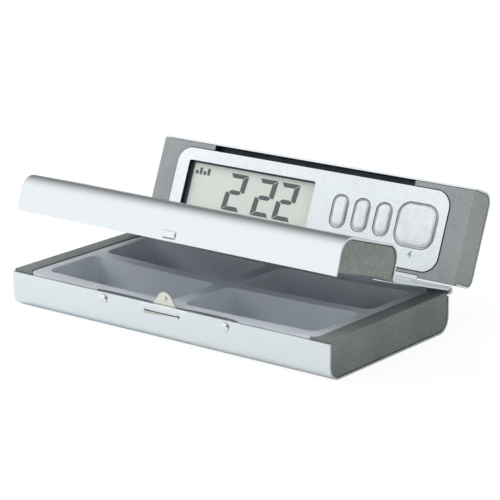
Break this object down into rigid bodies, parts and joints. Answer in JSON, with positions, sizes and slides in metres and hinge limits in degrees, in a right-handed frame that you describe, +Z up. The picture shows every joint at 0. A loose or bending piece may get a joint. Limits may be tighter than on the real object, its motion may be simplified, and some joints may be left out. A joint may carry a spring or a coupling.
{
  "type": "electronic pill box",
  "caption": "Flat rectangular pill case with a divided tray, a latched sheet-metal lid and a folding clock leaf with a display and buttons on the same hinge.",
  "frame": {"origin": "centre of the flat underside of the base", "axes": "+X along the hinge, towards the button end of the clock; +Y from the latch to the hinge; +Z up, away from the underside"},
  "size_m": [0.1024, 0.0701, 0.0347],
  "materials": {
    "satin_aluminium": "satin",
    "dark_grey_plastic": "textured",
    "lilac_grey_plastic": "satin",
    "spring_steel": "satin",
    "rivet_metal": "polished",
    "pin_steel": "satin",
    "clock_frame_plastic": "textured",
    "silver_panel": "fine metallic grain",
    "display_glass": "satin",
    "backlight_plastic": "satin",
    "connector_rubber": "matte",
    "keypad_silicone": "matte",
    "board_laminate": "satin",
    "led_lens": "gloss",
    "button_plastic": "satin",
    "screw_steel": "satin",
    "cell_steel": "polished",
    "contact_metal": "satin",
    "buzzer_brass": "satin"
  },
  "bodies": {
    "base": {"base_shell": "satin_aluminium", "base_end_cap_left": "dark_grey_plastic", "base_end_cap_right": "dark_grey_plastic", "pill_tray": "lilac_grey_plastic", "hinge_pin": "pin_steel", "latch_rivet_left": "rivet_metal", "latch_rivet_right": "rivet_metal"},
    "lid": {"lid_shell": "satin_aluminium", "lid_end_cap_left": "dark_grey_plastic", "lid_end_cap_right": "dark_grey_plastic"},
    "clock": {"clock_back_cover": "satin_aluminium", "clock_frame": "clock_frame_plastic", "face_panel": "silver_panel", "lcd_glass": "display_glass", "backlight_panel": "backlight_plastic", "display_connector": "connector_rubber", "backlight_led": "led_lens", "keypad_mat": "keypad_silicone", "circuit_board": "board_laminate", "board_screw_1": "screw_steel", "board_screw_2": "screw_steel", "board_screw_3": "screw_steel", "board_screw_4": "screw_steel", "coin_cell": "cell_steel", "negative_contact": "contact_metal", "positive_contact": "contact_metal", "piezo_buzzer": "buzzer_brass", "battery_door": "clock_frame_plastic"},
    "latch": {"latch_spring": "spring_steel"},
    "mode_button": {"mode_button": "button_plastic"},
    "set_button": {"set_button": "button_plastic"},
    "adjust_button": {"adjust_button": "button_plastic"},
    "light_button": {"light_button": "button_plastic"}
  },
  "joints": [
    {"name": "lid_hinge", "type": "hinge", "parent": "base", "child": "lid", "pos_m": [0, 0.02605, 0.0105], "axis": [-1, 0, 0], "range_deg": [-17.8, 62.2]},
    {"name": "clock_hinge", "type": "hinge", "parent": "lid", "child": "clock", "pos_m": [0, 0.02605, 0.0105], "axis": [-1, 0, 0], "range_deg": [-94, 6]},
    {"name": "latch_flex", "type": "hinge", "parent": "base", "child": "latch", "pos_m": [0, -0.02467, 0.0058], "axis": [-1, 0, 0], "range_deg": [0, 4], "stiffness_Nm_per_rad": 0.2},
    {"name": "mode_press", "type": "slide", "parent": "clock", "child": "mode_button", "axis": [0, 0.9285, -0.3714], "range_m": [0, 0.0005], "stiffness_N_per_m": 1500, "springref_m": -0.0004},
    {"name": "set_press", "type": "slide", "parent": "clock", "child": "set_button", "axis": [0, 0.9285, -0.3714], "range_m": [0, 0.0005], "stiffness_N_per_m": 1500, "springref_m": -0.0004},
    {"name": "adjust_press", "type": "slide", "parent": "clock", "child": "adjust_button", "axis": [0, 0.9285, -0.3714], "range_m": [0, 0.0005], "stiffness_N_per_m": 1500, "springref_m": -0.0004},
    {"name": "light_press", "type": "slide", "parent": "clock", "child": "light_button", "axis": [0, 0.9285, -0.3714], "range_m": [0, 0.0005], "stiffness_N_per_m": 1500, "springref_m": -0.0004}
  ]
}
